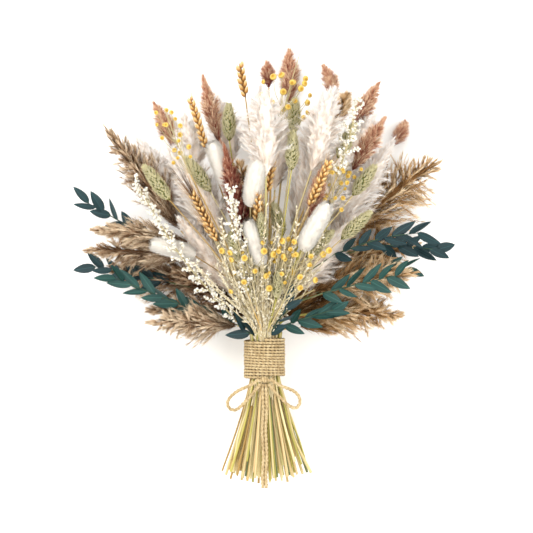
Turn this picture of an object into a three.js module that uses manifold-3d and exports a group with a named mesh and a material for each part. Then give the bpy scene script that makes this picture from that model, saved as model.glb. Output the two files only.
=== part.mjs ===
// A tied bunch of dried flowers, lying on a table: its heads point along +Y, its cut
// stems along -Y and +Z is up. Every plant is one solid, from its cut end through the
// twine binding to the tip of its head. Millimetres.
import * as THREE from 'three';
import { mergeVertices } from 'three/addons/utils/BufferGeometryUtils.js';
import Module from 'manifold-3d';

const wasm = await Module();
wasm.setup();

// Driving dimensions, millimetres and degrees
const TIE_LENGTH = 41; // the binding, along the stems
const TWINE = 3.1; // diameter of the jute twine
const CLEARANCE = 0.3; // left between neighbours that touch
const STOUT_STEM = 1.6; // radii of the stems
const STEM = 1.3;
const FINE_STEM = 1.0;
const CUT_LENGTH = 107; // from the binding to the longest cut end
const CUT_ROUNDING = 12; // how much shorter the outermost stems are
const CUT_RAGGEDNESS = 1.4; // step between neighbouring cut ends
const FLARE = 3.45; // spread of the longest cut ends, as a ratio of their place in the tie
const LOWEST_SLOPE = -0.09; // rise per millimetre of reach, in the layer on the table
const HIGHEST_SLOPE = 0.58; // and in the topmost layer
const LEAF_LENGTH = 19;
const LEAF_WIDTH = 8;
const LEAF_THICKNESS = 1.2;
const LEAF_SPACING = 12;
const BUTTON = 7; // diameter of a button flower
const BUTTON_SPACING = 11;
const FLORET = 5; // diameter of a statice floret
const FLORET_SPACING = 13;
const TWIG = 0.6; // radius of a side twig

const SIDES = 7; // of a plant's section
const SPRAY_SIDES = 6;
const TWIG_SIDES = 4;
const RING_SIDES = 32;

const STEM_PITCH = 2 * STOUT_STEM + CLEARANCE;
const LAYER_ROOM = 0.5; // more between layers than between neighbours in one
const LAYER_PITCH = STEM_PITCH + LAYER_ROOM;
const TIE_END = TIE_LENGTH / 2;
const MOUTH = TIE_END + 1; // where the stems start to fan out
const UP = new THREE.Vector3(0, 0, 1);
const FLARE_AT_ONCE = 0.7; // share of the flare that starts at the binding, the rest grows
const STRAIGHT_SHARE = 0.33; // of a stalk, straight at each end
const TWIG_TAPER = 0.55; // how much a spray's stem thins by its tip
const CUT_CYCLE = 5; // cut ends before their raggedness repeats
const TOLERANCE = 0.01; // of a joined spray's faces

// Head outlines: share of the head's length, share of its half width
const FEATHER = [[0.1, 0.45], [0.3, 0.9], [0.5, 1], [0.72, 0.75], [0.9, 0.35]];
const EGG = [[0.07, 0.6], [0.28, 1], [0.55, 0.92], [0.8, 0.62], [0.95, 0.25]];
const EAR = [[0.08, 0.75], [0.35, 1], [0.7, 0.85], [0.92, 0.4]];

// What each kind of plant has: its stem, its head's outline, depth as a share of the
// head's width, and colour
const KINDS = {
  brown_plume: { stem: STOUT_STEM, outline: FEATHER, depth: 0.6, colour: 0x9a7350 },
  tan_plume: { stem: STOUT_STEM, outline: FEATHER, depth: 0.5, colour: 0xc09a6c },
  white_plume: { stem: STEM, outline: FEATHER, depth: 0.65, colour: 0xeee6df },
  rust_plume: { stem: STEM, outline: FEATHER, depth: 0.75, colour: 0xa86a5c },
  bunny_tail: { stem: FINE_STEM, outline: EGG, depth: 1, colour: 0xf1ebdd },
  canary_grass: { stem: STEM, outline: EGG, depth: 1, colour: 0xbfc287 },
  wheat_ear: { stem: STEM, outline: EAR, depth: 0.8, colour: 0xd5a24e },
  button_spray: { stem: FINE_STEM, twig: 'button', colour: 0xdcb041 },
  statice_spray: { stem: FINE_STEM, twig: 'floret', colour: 0xe4dcc6 },
  leaf_sprig: { stem: FINE_STEM, twig: 'leaf', colour: 0x28555a },
};

// The plants, layer by layer from the table up, and from left to right in each layer.
// fan: the head's base, as an angle from the bunch's axis, and reach: its distance
// from the tie. lean: the head's own angle at its base, nod: how much it turns by its
// tip. length and width are the head's.
const plant = (name, fan, reach, lean, length, width, nod = 0) =>
  ({ name, fan, reach, lean, length, width, nod });
const LAYERS = [
  [
    plant('brown_plume_1', -46, 70, -72, 120, 30, -16),
    plant('rust_plume_1', -25, 210, -24, 56, 14, -6),
    plant('rust_plume_2', 6, 240, 2, 57, 18, -4),
    plant('rust_plume_3', 34, 236, 34, 30, 10, -14),
    plant('tan_plume_1', 43, 96, 66, 98, 34, 20),
  ],
  [
    plant('brown_plume_2', -65, 44, -78, 82, 20, -10),
    plant('leaf_sprig_1', -48, 140, -58, 88, 30, -4),
    plant('white_plume_1', -33, 118, -32, 125, 22, 0),
    plant('white_plume_2', -10, 180, -14, 70, 20, 0),
    plant('rust_plume_4', 16, 250, 5, 40, 12, -42),
    plant('rust_plume_5', 23, 226, 26, 58, 16, 6),
    plant('tan_plume_2', 39, 134, 44, 122, 40, 14),
    plant('tan_plume_3', 75, 37, 74, 80, 18, -4),
  ],
  [
    plant('leaf_sprig_2', -65, 34, -62, 130, 32, -12),
    plant('brown_plume_3', -38, 137, -34, 128, 24, -4),
    plant('white_plume_3', -26, 99, -26, 122, 22, -2),
    plant('rust_plume_6', -13, 201, -14, 70, 14, 0),
    plant('white_plume_4', -1, 174, -1, 79, 22, 0),
    plant('white_plume_5', 17, 100, 13, 152, 26, -4),
    plant('white_plume_6', 33, 118, 33, 120, 24, 0),
    plant('leaf_sprig_3', 51, 77, 72, 88, 30, 8),
  ],
  [
    plant('brown_plume_4', -38, 122, -78, 100, 14, -10),
    plant('white_plume_7', -21, 180, -16, 58, 18, 0),
    plant('rust_plume_7', -11, 95, -12, 106, 12, -4),
    plant('wheat_ear_1', -4.5, 240, -10, 35, 13, 0),
    plant('rust_plume_8', 1, 249, -4, 26, 10, 0),
    plant('canary_grass_2', 8, 206, 3, 34, 15, 0),
    plant('rust_plume_9', 27.5, 188, 30, 62, 16, 4),
    plant('tan_plume_4', 46, 70, 76, 104, 24, 10),
  ],
  [
    plant('bunny_tail_1', -40, 108, -68, 44, 17, -14),
    plant('wheat_ear_2', -27, 111, -26, 62, 10, 4),
    plant('wheat_ear_3', -17, 197, -17, 54, 9, 0),
    plant('canary_grass_3', -10, 199, -2, 35, 15, 2),
    plant('button_spray_1', 3.5, 196, 16, 62, 34, 0),
    plant('canary_grass_4', 22, 193, 26, 37, 15, 0),
    plant('button_spray_2', 26.5, 150, 24, 30, 18, -6),
    plant('canary_grass_5', 31.5, 167, 37, 36, 15, 0),
    plant('leaf_sprig_4', 40, 110, 68, 86, 32, 16),
  ],
  [
    plant('statice_spray_1', -58, 34, -34, 146, 24, -2),
    plant('canary_grass_6', -20, 155, -34, 40, 15, -4),
    plant('bunny_tail_2', -13, 152, -19, 47, 19, -4),
    plant('wheat_ear_4', 1, 143, 9, 47, 11, 0),
    plant('canary_grass_9', 10, 104, -14, 33, 14, -6),
    plant('statice_spray_2', 24, 176, 17, 58, 22, -6),
    plant('canary_grass_8', 37.5, 125, 46, 38, 15, 2),
  ],
  [
    plant('canary_grass_1', -34, 165, -36, 40, 15, 0),
    plant('button_spray_3', -24, 176, -20, 52, 22, 0),
    plant('bunny_tail_3', -6, 132, 10, 46, 20, 2),
    plant('canary_grass_7', 9, 168, 2, 35, 15, 0),
    plant('wheat_ear_5', 18.5, 138, 24, 50, 12, 0),
    plant('canary_grass_10', 27, 91, 44, 36, 14, 2),
  ],
  [
    plant('bunny_tail_4', -2, 74, -16, 44, 16, -4),
    plant('button_spray_4', 11, 42, 12, 50, 13, 0),
    plant('bunny_tail_5', 23, 96, 27, 50, 18, 4),
  ],
];

// The bow's twine, from the knot's middle: sideways, down the bunch and up. Each loop
// leaves the knot and comes back to it; the tails lie along the stems, their third
// number being the height above them.
const LOOP_LEFT = [
  [-5.6, 0, 0.6], [-10, 3.2, 0.4], [-16, 6.8, -0.6], [-24, 10.2, -2.6], [-30.5, 14.4, -5],
  [-35.5, 19.6, -7.4], [-37.2, 25, -9], [-34.6, 30, -9.6], [-29.4, 31, -8.6],
  [-24.6, 28, -6.6], [-20.4, 23.6, -4.6], [-15.8, 18.6, -2.8], [-11.4, 13.6, -1.4],
  [-7.4, 8.8, -0.4], [-4.4, 4.6, 0.2],
];
const LOOP_RIGHT = [
  [5.6, -0.2, 0.6], [10.4, 2.8, 0.4], [17, 6.8, -0.6], [24.4, 9.6, -2.8], [30.6, 13, -5.2],
  [34.8, 18.2, -7.6], [35.4, 24.4, -9.2], [31.8, 29, -9.4], [26.6, 28, -7.6],
  [22, 24.6, -5.6], [18, 20.6, -3.8], [14, 16.6, -2.4], [10.4, 12.6, -1.2],
  [7, 8.6, -0.4], [4.4, 4.6, 0.2],
];
const TAIL = [
  [0, 4.6, 2.4], [-0.2, 9, 1], [0, 15, 0.1], [0.3, 22, 0], [0.5, 29, 0], [0.2, 36, 0],
  [-0.3, 43, 0], [-0.6, 50, 0], [-0.4, 57, 0], [0.1, 64, 0], [0.5, 71, 0], [0.6, 78, 0],
  [0.2, 85, 0], [-0.3, 92, 0], [-0.2, 99, 0], [0.3, 106, 0],
];

const radians = THREE.MathUtils.degToRad;
const heading = (angle) => new THREE.Vector3(Math.sin(radians(angle)), Math.cos(radians(angle)), 0);

/** A closed geometry with merged corners and no collapsed triangles. */
function closed(geometry) {
  const bare = geometry.clone();
  bare.deleteAttribute('normal');
  bare.deleteAttribute('uv');
  const merged = mergeVertices(bare, 1e-4);
  const kept = [];
  for (let i = 0; i < merged.index.count; i += 3) {
    const [a, b, c] = merged.index.array.slice(i, i + 3);
    if (a !== b && b !== c && a !== c) {
      kept.push(a, b, c);
    }
  }
  merged.setIndex(kept);
  return merged;
}

function solidOf(geometry) {
  const { attributes, index } = closed(geometry);
  return new wasm.Manifold(new wasm.Mesh({
    numProp: 3,
    vertProperties: new Float32Array(attributes.position.array),
    triVerts: new Uint32Array(index.array),
  }));
}

function joined(geometries) {
  const whole = geometries.map(solidOf).reduce((sum, next) => sum.add(next));
  const { vertProperties, triVerts } = whole.simplify(TOLERANCE).getMesh();
  const geometry = new THREE.BufferGeometry();
  geometry.setAttribute('position', new THREE.BufferAttribute(vertProperties, 3));
  geometry.setIndex(new THREE.BufferAttribute(triVerts, 1));
  return geometry;
}

/** A lathe bent along stations of { at, radius, flat }: one ring of its profile each. */
function bentLathe(stations, sides) {
  const profile = stations.map(({ radius }, i) => new THREE.Vector2(radius, i));
  profile.unshift(new THREE.Vector2(0, 0));
  profile.push(new THREE.Vector2(0, stations.length - 1));
  const lathe = new THREE.LatheGeometry(profile, sides);
  const frames = stations.map(({ at, flat = 1 }, i) => {
    const before = stations[Math.max(i - 1, 0)].at;
    const after = stations[Math.min(i + 1, stations.length - 1)].at;
    const along = after.clone().sub(before).normalize();
    const side = along.clone().cross(UP).normalize();
    const rise = side.clone().cross(along).multiplyScalar(flat);
    return { at, side, rise };
  });
  const corner = new THREE.Vector3();
  const { position } = lathe.attributes;
  for (let i = 0; i < position.count; i += 1) {
    const { at, side, rise } = frames[Math.round(position.getY(i))];
    corner.copy(at).addScaledVector(side, position.getX(i)).addScaledVector(rise, position.getZ(i));
    position.setXYZ(i, corner.x, corner.y, corner.z);
  }
  return lathe;
}

/** How far apart the stems are, as a ratio of the tie's spacing, down from the binding. */
function spreadAt(down) {
  const t = down / CUT_LENGTH;
  return 1 + (FLARE - 1) * (FLARE_AT_ONCE * t + (1 - FLARE_AT_ONCE) * t * t);
}

/** How a plant's centre line runs, from its place in the tie. */
function routeOf({ fan, reach, lean, length, nod }, spot, slope, raggedness) {
  const mouth = new THREE.Vector3(spot.x, MOUTH, 0);
  const fanCentre = new THREE.Vector3(0, TIE_END, 0);
  const base = heading(fan).multiplyScalar(reach).add(fanCentre);
  const grip = reach * STRAIGHT_SHARE;
  const stalk = new THREE.CubicBezierCurve3(
    mouth,
    mouth.clone().add(heading(0).multiplyScalar(grip)),
    base.clone().addScaledVector(heading(lean), -grip),
    base,
  );
  const middle = base.clone().addScaledVector(heading(lean), length / 2);
  const tip = middle.clone().addScaledVector(heading(lean + nod), length / 2);
  const head = new THREE.QuadraticBezierCurve3(base, middle, tip);
  const raised = (point) => {
    const away = Math.hypot(point.x, point.y - TIE_END);
    const rise = Math.sqrt(Math.max(away * away - spot.x * spot.x, 0));
    return new THREE.Vector3(point.x, point.y, spot.z + slope * rise);
  };
  const share = spot.length() / (bundleRadius - STOUT_STEM);
  const cut = CUT_LENGTH - CUT_ROUNDING * share * share - raggedness;
  const flare = (t) => {
    const spread = spreadAt(cut * t);
    return new THREE.Vector3(spot.x * spread, -TIE_END - cut * t, spot.z * spread);
  };
  return {
    flare,
    stalk: (t) => raised(stalk.getPoint(t)),
    head: (t) => raised(head.getPoint(t)),
  };
}

function stemStations(route, spot, radius) {
  const low = new THREE.Vector3(spot.x, -TIE_END, spot.z);
  const stations = [1, 0.5].map((t) => ({ at: route.flare(t), radius }));
  stations.push({ at: low, radius });
  for (const t of [0, 0.25, 0.6, 1]) {
    stations.push({ at: route.stalk(t), radius });
  }
  return stations;
}

function headed(route, spot, { stem, outline, depth }, { width }) {
  const stations = stemStations(route, spot, stem);
  for (const [t, share] of outline) {
    stations.push({ at: route.head(t), radius: (width / 2) * share, flat: depth });
  }
  stations.push({ at: route.head(1), radius: stem * 0.4 });
  return bentLathe(stations, SIDES);
}

/** The pieces at the end of a side twig, each from the twig's foot towards its tip. */
const TWIG_ENDS = {
  leaf: (foot, direction) => {
    const outline = [[0, 0.12], [0.3, 0.9], [0.65, 0.9], [1, 0.06]];
    const stations = outline.map(([t, share]) => ({
      at: foot.clone().addScaledVector(direction, t * LEAF_LENGTH),
      radius: (LEAF_WIDTH / 2) * share,
      flat: LEAF_THICKNESS / LEAF_WIDTH,
    }));
    return bentLathe(stations, SPRAY_SIDES);
  },
  button: (foot, direction, length) => ballOnTwig(foot, direction, length, BUTTON),
  floret: (foot, direction, length) => ballOnTwig(foot, direction, length, FLORET),
};
const TWIG_SPACING = { leaf: LEAF_SPACING, button: BUTTON_SPACING, floret: FLORET_SPACING };
const TWIG_ANGLE = { leaf: 48, button: 38, floret: 34 };

function ballOnTwig(foot, direction, length, diameter) {
  const ball = [[0, 0.55], [0.3, 1], [0.7, 1], [1, 0.5]];
  const stations = [0, 1].map((t) => ({
    at: foot.clone().addScaledVector(direction, t * (length - diameter)),
    radius: TWIG,
  }));
  for (const [t, share] of ball) {
    const at = foot.clone().addScaledVector(direction, length - diameter * (0.95 - 0.9 * t));
    stations.push({ at, radius: (diameter / 2) * share });
  }
  return bentLathe(stations, diameter === BUTTON ? SPRAY_SIDES : TWIG_SIDES);
}

function sprayed(route, spot, { stem, twig }, { length, width, lean, nod }) {
  const stations = stemStations(route, spot, stem);
  for (const t of [0.35, 0.7, 1]) {
    stations.push({ at: route.head(t), radius: stem * (1 - TWIG_TAPER * t) });
  }
  const pieces = [bentLathe(stations, SPRAY_SIDES)];
  const twigs = Math.floor(length / TWIG_SPACING[twig]);
  for (let i = 0; i <= twigs; i += 1) {
    const t = i / twigs;
    const turn = i === twigs ? 0 : TWIG_ANGLE[twig] * (i % 2 ? 1 : -1);
    const direction = heading(lean + nod * t + turn);
    direction.z = route.head(1).sub(route.head(0)).z / length;
    const reachOut = width / 2 / Math.sin(radians(TWIG_ANGLE[twig]));
    pieces.push(TWIG_ENDS[twig](route.head(t), direction.normalize(), reachOut));
  }
  return joined(pieces);
}

// Where each stem lies in the tie
const spots = LAYERS.map((layer, k) => layer.map((_, i) => new THREE.Vector3(
  (i - (layer.length - 1) / 2) * STEM_PITCH,
  0,
  (k - (LAYERS.length - 1) / 2) * LAYER_PITCH,
)));
const bundleRadius = Math.max(...spots.flat().map((spot) => spot.length())) + STOUT_STEM;

const bunch = new THREE.Group();

function add(name, geometry, colour, roughness = 0.85) {
  const material = new THREE.MeshStandardMaterial({ color: colour, roughness, metalness: 0 });
  const mesh = new THREE.Mesh(geometry, material);
  mesh.name = name;
  bunch.add(mesh);
}

LAYERS.forEach((layer, k) => {
  const slope = THREE.MathUtils.lerp(LOWEST_SLOPE, HIGHEST_SLOPE, k / (LAYERS.length - 1));
  layer.forEach((row, i) => {
    const kind = KINDS[row.name.replace(/_\d+$/, '')];
    const spot = spots[k][i];
    const route = routeOf(row, spot, slope, CUT_RAGGEDNESS * ((3 * i + 2 * k) % CUT_CYCLE));
    const build = kind.twig ? sprayed : headed;
    add(row.name, build(route, spot, kind, row), kind.colour);
  });
});

// The binding: close-wound twine, as one open ring round the stems
const inner = bundleRadius + CLEARANCE;
const outer = inner + TWINE;
const binding = new THREE.LatheGeometry([
  new THREE.Vector2(inner, -TIE_END),
  new THREE.Vector2(outer - TWINE / 3, -TIE_END),
  new THREE.Vector2(outer, -TIE_END + TWINE / 2),
  new THREE.Vector2(outer, TIE_END - TWINE / 2),
  new THREE.Vector2(outer - TWINE / 3, TIE_END),
  new THREE.Vector2(inner, TIE_END),
  new THREE.Vector2(inner, -TIE_END),
], RING_SIDES);
add('twine_binding', binding, 0xcbb38a);

// The bow, on the binding's lower edge
const TWINE_COLOUR = 0xc7ac7f;
const KNOT = { width: 10, length: 7, height: 5.4 };
const knotHeight = outer + CLEARANCE + KNOT.height / 2;
const knot = new THREE.SphereGeometry(0.5, 10, 7);
knot.scale(KNOT.width, KNOT.length, KNOT.height);
knot.translate(0, -TIE_END, knotHeight);
add('bow_knot', knot, TWINE_COLOUR);

function twine(name, points) {
  const curve = new THREE.CatmullRomCurve3(points);
  const section = new THREE.Shape();
  section.absarc(0, 0, TWINE / 2, 0, 2 * Math.PI);
  const steps = Math.ceil(curve.getLength() / (2 * TWINE));
  const tube = new THREE.ExtrudeGeometry(section, { curveSegments: 4, steps, extrudePath: curve });
  add(name, tube, TWINE_COLOUR);
}

const fromKnot = ([x, down, up]) => new THREE.Vector3(x, -TIE_END - down, knotHeight + up);
twine('bow_loop_left', LOOP_LEFT.map(fromKnot));
twine('bow_loop_right', LOOP_RIGHT.map(fromKnot));

const highestSpot = Math.max(...spots.flat().map((spot) => spot.z));
const SAG_ROOM = 0.5; // what the stems' straight stretches stand above their curve
for (const [name, side] of [['bow_tail_left', -1], ['bow_tail_right', 1]]) {
  twine(name, TAIL.map(([x, down, up]) => new THREE.Vector3(
    x + side * (TWINE + CLEARANCE) / 2,
    -TIE_END - down,
    highestSpot * spreadAt(down) + STEM + CLEARANCE + SAG_ROOM + TWINE / 2 + up,
  )));
}

// The origin is under the middle of the bunch, on the table
const box = new THREE.Box3().setFromObject(bunch, true);
const middle = box.getCenter(new THREE.Vector3());
bunch.position.set(-middle.x, -middle.y, -box.min.z);

export default bunch;
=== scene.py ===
"""A tied bunch of dried flowers lying on a table: plumes, grasses, button flowers and leaves."""

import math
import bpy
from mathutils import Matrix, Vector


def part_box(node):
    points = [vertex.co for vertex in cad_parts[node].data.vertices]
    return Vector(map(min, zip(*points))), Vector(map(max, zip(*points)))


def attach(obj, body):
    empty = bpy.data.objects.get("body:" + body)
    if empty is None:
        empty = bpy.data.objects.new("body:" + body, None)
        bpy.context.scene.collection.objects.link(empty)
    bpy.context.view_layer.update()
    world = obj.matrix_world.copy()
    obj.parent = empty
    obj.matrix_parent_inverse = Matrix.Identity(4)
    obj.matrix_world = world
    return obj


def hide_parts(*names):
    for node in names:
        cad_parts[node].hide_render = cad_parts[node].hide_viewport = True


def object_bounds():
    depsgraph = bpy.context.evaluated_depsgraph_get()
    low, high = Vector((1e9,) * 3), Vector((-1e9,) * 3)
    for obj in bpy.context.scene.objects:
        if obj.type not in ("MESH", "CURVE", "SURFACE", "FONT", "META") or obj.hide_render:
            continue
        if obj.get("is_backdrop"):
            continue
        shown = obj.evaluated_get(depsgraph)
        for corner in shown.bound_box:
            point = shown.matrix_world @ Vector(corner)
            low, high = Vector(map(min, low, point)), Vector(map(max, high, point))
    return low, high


bl_info = {
    "name": "Dried Flower Bunch",
    "version": (1, 0, 0),
    "blender": (4, 5, 0),
    "location": "View3D > Sidebar > Bunch",
    "description": "Grows dried plumes, grasses, flowers and leaves along a bunch's stems and ties them",
    "category": "Add Mesh",
}

from functools import partial

import bmesh
import bpy
import numpy as np
from mathutils import Vector

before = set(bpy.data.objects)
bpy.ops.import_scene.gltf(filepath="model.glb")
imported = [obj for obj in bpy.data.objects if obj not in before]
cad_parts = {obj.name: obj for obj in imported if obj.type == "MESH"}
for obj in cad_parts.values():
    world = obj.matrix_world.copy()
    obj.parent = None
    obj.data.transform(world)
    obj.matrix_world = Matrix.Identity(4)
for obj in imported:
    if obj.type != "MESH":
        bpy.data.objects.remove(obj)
CAD_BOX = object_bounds()

MM = 0.001
UP = np.array([0.0, 0.0, 1.0])
ALONG_BUNCH = np.array([0.0, 1.0, 0.0])
GOLDEN_TURN = math.pi * (3 - math.sqrt(5))
TABLE_GAP = 0.6 * MM  # nothing hangs lower than this above the table
UV_NAME = "OFBake"


# ---------------------------------------------------------------- lines and rings


def unit(vectors):
    return vectors / np.maximum(np.linalg.norm(vectors, axis=-1, keepdims=True), 1e-12)


def across(along, reference=UP):
    """The two directions square to a line: sideways, and up from it."""
    side = unit(np.cross(reference, along))
    return side, np.cross(along, side)


def scattered(rng, count):
    """Random directions, evenly spread."""
    return unit(rng.normal(size=(count, 3)))


class Course:
    """A smooth line through points, with a half width and half height at each."""

    STEPS = 20

    def __init__(self, points, wide=None, high=None):
        points = np.asarray(points, float)
        before, after = 2 * points[0] - points[1], 2 * points[-1] - points[-2]
        padded = np.vstack([before, points, after])
        a, b, c, d = padded[:-3], padded[1:-2], padded[2:-1], padded[3:]
        t = np.linspace(0, 1, self.STEPS, endpoint=False)[:, None, None]
        bow = (2 * a - 5 * b + 4 * c - d) * t**2 + (3 * b - a - 3 * c + d) * t**3
        line = b + 0.5 * ((c - a) * t + bow)
        self.line = np.vstack([line.transpose(1, 0, 2).reshape(-1, 3), points[-1:]])
        steps = np.linalg.norm(np.diff(self.line, axis=0), axis=1)
        run = np.concatenate([[0], np.cumsum(steps)])
        self.length = run[-1]
        self.share = run / self.length
        self.knots = self.share[:: self.STEPS]
        self.wide, self.high = wide, high

    def at(self, t):
        return np.stack([np.interp(t, self.share, self.line[:, i]) for i in range(3)], axis=-1)

    def along(self, t, gap=0.012):
        return unit(self.at(np.minimum(t + gap, 1)) - self.at(np.maximum(t - gap, 0)))

    def reach(self, t):
        """Half width and half height."""
        return np.interp(t, self.knots, self.wide), np.interp(t, self.knots, self.high)


def kind_of(node):
    return node.rstrip("0123456789_")


HEAD_RING = 6  # rings of a plant's solid from its cut end to the base of its head


def rings_of(node):
    """The rings of corners of a plant's solid, from its cut end to its tip."""
    solid = bmesh.new()
    solid.from_mesh(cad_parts[node].data)
    bmesh.ops.remove_doubles(solid, verts=solid.verts, dist=1e-6)
    solid.verts.index_update()
    cut_end = min(corner.co.y for corner in solid.verts) + 4 * MM
    ring = [corner for corner in solid.verts if corner.co.y < cut_end]
    seen, rings = set(ring), []
    while ring:
        rings.append(np.array([corner.co for corner in ring]))
        reached = {edge.other_vert(corner) for corner in ring for edge in corner.link_edges}
        ring = sorted(reached - seen, key=lambda corner: corner.index)
        seen.update(ring)
    solid.free()
    return rings


def stem_and_head(node):
    """A plant's stem and head as courses, read from its solid."""
    rings = rings_of(node)
    centres = np.array([ring.mean(axis=0) for ring in rings])
    stem = Course(centres[: HEAD_RING + 1])
    if kind_of(node) in SPRAYS:
        base, grown = centres[HEAD_RING], np.vstack(rings[HEAD_RING:])
        tip = grown[np.argmax(np.linalg.norm(grown - centres[HEAD_RING - 1], axis=1))]
        ahead = unit(base - centres[HEAD_RING - 1]) * np.linalg.norm(tip - base) / 2
        bend = np.array([0.0, 0.5, 1.0])[:, None]
        middle = (base + ahead) * 0.5 + (base + tip) * 0.25
        points = base * (1 - bend) ** 2 + middle * 2 * bend * (1 - bend) + tip * bend**2
        return stem, Course(points)
    points = centres[HEAD_RING:]
    side, rise = across(Course(points).along(np.linspace(0, 1, len(points))))
    wide, high = [], []
    for ring, centre, sideways, upward in zip(rings[HEAD_RING:], points, side, rise):
        wide.append(np.abs((ring - centre) @ sideways).max())
        high.append(np.abs((ring - centre) @ upward).max())
    return stem, Course(points, wide, high)


# ---------------------------------------------------------------- repeated forms


def flat_lay(corners):
    return corners[..., [0, 2]] + [0.5, 0]


def top_lay(corners):
    return corners[..., [0, 1]] * 0.98 + 0.5


def round_lay(corners):
    """Round the form and along it, with the seam's corners on the right side of it."""
    turn = np.arctan2(corners[..., 1], corners[..., 0]) / math.tau % 1.0
    turn[turn > 0.9999] = 0
    spans = turn.max(axis=1, keepdims=True) - turn.min(axis=1, keepdims=True) > 0.5
    turn = np.where(spans & (turn < 0.5), turn + 1, turn)
    return np.stack([turn, corners[..., 2]], axis=-1)


class Shape:
    """A small closed form that stands on its foot along Z, a unit long, to be repeated."""

    def __init__(self, form, lay=flat_lay):
        bmesh.ops.remove_doubles(form, verts=form.verts, dist=1e-5)
        bmesh.ops.recalc_face_normals(form, faces=form.faces)
        bmesh.ops.triangulate(form, faces=form.faces)
        form.verts.index_update()
        self.points = np.array([corner.co for corner in form.verts])
        self.faces = np.array([[corner.index for corner in face.verts] for face in form.faces])
        self.uv = lay(self.points[self.faces])
        form.free()


def everything(form):
    return form.verts[:] + form.edges[:] + form.faces[:]


def hair_shape(bends):
    """A three-sided hair that runs to a point."""
    form = bmesh.new()
    bmesh.ops.create_cone(form, cap_ends=True, segments=3, radius1=0.5, radius2=0, depth=1)
    bmesh.ops.translate(form, verts=form.verts, vec=(0, 0, 0.5))
    for i in range(bends):
        height = (0, 0, (i + 1) / (bends + 1))
        bmesh.ops.bisect_plane(form, geom=everything(form), plane_co=height, plane_no=(0, 0, 1))
    return Shape(form)


def pipe_shape(sides, rings):
    """A closed pipe of radius 1, cut into rings so that it can follow a course."""
    form = bmesh.new()
    bmesh.ops.create_cone(form, cap_ends=True, segments=sides, radius1=1, radius2=1, depth=1)
    bmesh.ops.translate(form, verts=form.verts, vec=(0, 0, 0.5))
    upright = [edge for edge in form.edges if abs(edge.verts[0].co.z - edge.verts[1].co.z) > 0.5]
    bmesh.ops.subdivide_edges(form, edges=upright, cuts=rings - 1)
    return Shape(form, round_lay)


def blade_shape(cells_across, cells_along, outline, cup, thickness):
    """A leaf or scale: a sheet cut to an outline, cupped about its midrib and thickened."""
    form = bmesh.new()
    bmesh.ops.create_grid(form, x_segments=cells_across, y_segments=cells_along, size=0.5)
    for corner in form.verts:
        x, t = corner.co.x, corner.co.y + 0.5
        rise = cup * (2 * x) ** 2 * outline(t)
        corner.co = (x * outline(t), rise, t)
    bmesh.ops.solidify(form, geom=form.faces[:], thickness=thickness)
    return Shape(form)


def leaf_outline(t):
    """Lance-shaped: widest below the middle, with a drawn-out point."""
    return max(math.sin(math.pi * t**0.82), 0) ** 0.8 * (1 - 0.12 * t) + 0.03


def glume_outline(t):
    """A grass scale: boat-shaped, widest near its middle."""
    return max(math.sin(math.pi * min(t * 0.9 + 0.08, 1)), 0) ** 0.7 + 0.03


def seed_shape(columns, rows, pointed):
    """A seed: a ball drawn out along Z, with a sharper tip."""
    form = bmesh.new()
    bmesh.ops.create_uvsphere(form, u_segments=columns, v_segments=rows, radius=0.5)
    for corner in form.verts:
        t = corner.co.z + 0.5
        slim = 1 - pointed * t**2
        corner.co = (corner.co.x * slim, corner.co.y * slim, t)
    return Shape(form, round_lay)


def button_shape():
    """A button flower: a low dome over a pinched cup."""
    form = bmesh.new()
    bmesh.ops.create_uvsphere(form, u_segments=12, v_segments=8, radius=0.5)
    for corner in form.verts:
        t = corner.co.z + 0.5
        if t < 0.5:
            pinch = 0.45 + 1.1 * t
            corner.co = (corner.co.x * pinch, corner.co.y * pinch, t)
        corner.co.z = t * 0.72
    return Shape(form, top_lay)


def floret_shape():
    """A papery trumpet of five points, for statice."""
    form = bmesh.new()
    bmesh.ops.create_cone(form, cap_ends=True, segments=5, radius1=0.16, radius2=0.5, depth=1)
    bmesh.ops.translate(form, verts=form.verts, vec=(0, 0, 0.5))
    mouth = max(form.faces, key=lambda face: face.calc_center_median().z)
    bmesh.ops.inset_region(form, faces=[mouth], thickness=0.16, depth=-0.45)
    return Shape(form)


# Squares of the finish along each side of the map, one for each copy of a form
COLUMNS = {"canary_grass": 16, "wheat_ear": 8, "leaf_sprig": 6, "button_spray": 4, "statice_spray": 21}
STEM_PLACES = 16  # stems in one piece, at most
TWINE_SHARE = 0.9  # of the finish's width goes round the twine, and the rest to its stray fibres

HAIR = hair_shape(0)
BENT_HAIR = hair_shape(2)
LEAF = blade_shape(4, 8, leaf_outline, 0.12, 0.035)
GLUME = blade_shape(2, 4, glume_outline, -0.34, 0.06)
FLAKE = blade_shape(1, 2, glume_outline, -0.2, 0.08)
GRAIN = seed_shape(6, 5, 0.75)
BUTTON = button_shape()
FLORET = floret_shape()


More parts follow.
